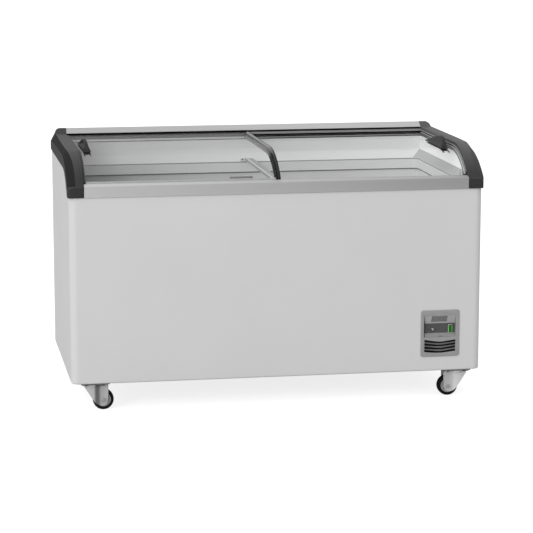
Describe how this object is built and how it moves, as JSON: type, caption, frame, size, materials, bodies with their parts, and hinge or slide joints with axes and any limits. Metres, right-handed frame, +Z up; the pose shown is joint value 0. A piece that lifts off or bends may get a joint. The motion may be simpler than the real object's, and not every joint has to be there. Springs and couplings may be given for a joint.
{
  "type": "chest freezer",
  "caption": "Low display chest freezer on swivel casters with two sliding lids of bent glass, raised rear rail, end trims and a front control panel.",
  "frame": {"origin": "centre of the whole freezer's footprint on the floor, under the wheels", "axes": "+X to the right-hand end seen from the front, +Y to the back, +Z up"},
  "size_m": [1.508, 0.7596, 0.9517],
  "materials": {
    "white_paint": "satin",
    "white_plastic": "satin",
    "liner_metal": "satin",
    "galvanised": "satin",
    "rail_alloy": "satin",
    "dark_plastic": "satin",
    "gasket_plastic": "satin",
    "clear_glass": "gloss",
    "panel_plastic": "satin",
    "black_plastic": "satin",
    "green_lens": "gloss",
    "foam": "matte",
    "copper_tube": "satin",
    "black_iron": "gloss",
    "rubber": "matte",
    "zinc_steel": "satin",
    "wheel_grey": "satin",
    "tyre_rubber": "matte"
  },
  "bodies": {
    "cabinet": {"outer_cabinet": "white_paint", "rear_panel": "galvanised", "rear_grille": "black_plastic", "panel_screws": "zinc_steel", "base_pan": "galvanised", "machine_housing": "galvanised", "foam_insulation": "foam", "inner_liner": "liner_metal", "evaporator_tube": "copper_tube", "drain_tube": "white_plastic", "breaker_collar": "white_plastic", "center_divider": "white_plastic", "front_rail": "rail_alloy", "rear_rail": "rail_alloy", "left_trim": "dark_plastic", "right_trim": "dark_plastic", "control_bezel": "panel_plastic", "control_plate": "black_plastic", "thermostat_body": "white_plastic", "switch_housing": "black_plastic", "compressor": "black_iron", "compressor_mounts": "rubber", "condenser_coil": "black_iron", "fan_bracket": "galvanised", "fan_motor": "black_iron", "filter_drier": "copper_tube", "refrigerant_lines": "copper_tube", "power_cord": "rubber", "caster_plates": "zinc_steel", "caster_bolts": "zinc_steel"},
    "left_lid": {"left_lid_glass": "clear_glass", "left_lid_edge_strips": "gasket_plastic", "left_lid_end_frames": "gasket_plastic", "left_lid_handle": "dark_plastic", "left_lid_handle_plate": "dark_plastic", "catch_pad": "panel_plastic"},
    "right_lid": {"right_lid_glass": "clear_glass", "right_lid_edge_strips": "gasket_plastic", "right_lid_end_frames": "gasket_plastic", "right_lid_handle": "dark_plastic", "right_lid_handle_plate": "dark_plastic"},
    "thermostat_knob": {"thermostat_knob": "panel_plastic"},
    "switch_rocker": {"switch_rocker": "green_lens"},
    "fan": {"fan_blade": "black_plastic"},
    "caster_front_left": {"fork_front_left": "zinc_steel", "axle_front_left": "zinc_steel"},
    "wheel_front_left": {"hub_front_left": "wheel_grey", "tyre_front_left": "tyre_rubber"},
    "caster_front_right": {"fork_front_right": "zinc_steel", "axle_front_right": "zinc_steel"},
    "wheel_front_right": {"hub_front_right": "wheel_grey", "tyre_front_right": "tyre_rubber"},
    "caster_rear_left": {"fork_rear_left": "zinc_steel", "axle_rear_left": "zinc_steel"},
    "wheel_rear_left": {"hub_rear_left": "wheel_grey", "tyre_rear_left": "tyre_rubber"},
    "caster_rear_right": {"fork_rear_right": "zinc_steel", "axle_rear_right": "zinc_steel"},
    "wheel_rear_right": {"hub_rear_right": "wheel_grey", "tyre_rear_right": "tyre_rubber"}
  },
  "joints": [
    {"name": "left_lid_slide", "type": "slide", "parent": "cabinet", "child": "left_lid", "axis": [1, 0, 0], "range_m": [0, 0.62]},
    {"name": "right_lid_slide", "type": "slide", "parent": "cabinet", "child": "right_lid", "axis": [1, 0, 0], "range_m": [-0.62, 0]},
    {"name": "thermostat_turn", "type": "hinge", "parent": "cabinet", "child": "thermostat_knob", "pos_m": [0.5695, -0.37575, 0.255], "axis": [0, -1, 0], "range_deg": [-150, 150]},
    {"name": "switch_tip", "type": "hinge", "parent": "cabinet", "child": "switch_rocker", "pos_m": [0.637, -0.36275, 0.2535], "axis": [1, 0, 0], "range_deg": [-5, 5]},
    {"name": "fan_spin", "type": "hinge", "parent": "cabinet", "child": "fan", "pos_m": [0.6, -0.25675, 0.215], "axis": [0, 1, 0], "continuous": true},
    {"name": "swivel_front_left", "type": "hinge", "parent": "cabinet", "child": "caster_front_left", "pos_m": [-0.665, -0.33775, 0.092], "axis": [0, 0, 1], "continuous": true},
    {"name": "roll_front_left", "type": "hinge", "parent": "caster_front_left", "child": "wheel_front_left", "pos_m": [-0.635, -0.33775, 0.0375], "axis": [0, 1, 0], "continuous": true},
    {"name": "swivel_front_right", "type": "hinge", "parent": "cabinet", "child": "caster_front_right", "pos_m": [0.665, -0.33775, 0.092], "axis": [0, 0, 1], "continuous": true},
    {"name": "roll_front_right", "type": "hinge", "parent": "caster_front_right", "child": "wheel_front_right", "pos_m": [0.635, -0.33775, 0.0375], "axis": [0, 1, 0], "continuous": true},
    {"name": "swivel_rear_left", "type": "hinge", "parent": "cabinet", "child": "caster_rear_left", "pos_m": [-0.665, 0.34225, 0.092], "axis": [0, 0, 1], "continuous": true},
    {"name": "roll_rear_left", "type": "hinge", "parent": "caster_rear_left", "child": "wheel_rear_left", "pos_m": [-0.635, 0.34225, 0.0375], "axis": [0, 1, 0], "continuous": true},
    {"name": "swivel_rear_right", "type": "hinge", "parent": "cabinet", "child": "caster_rear_right", "pos_m": [0.665, 0.34225, 0.092], "axis": [0, 0, 1], "continuous": true},
    {"name": "roll_rear_right", "type": "hinge", "parent": "caster_rear_right", "child": "wheel_rear_right", "pos_m": [0.635, 0.34225, 0.0375], "axis": [0, 1, 0], "continuous": true}
  ]
}
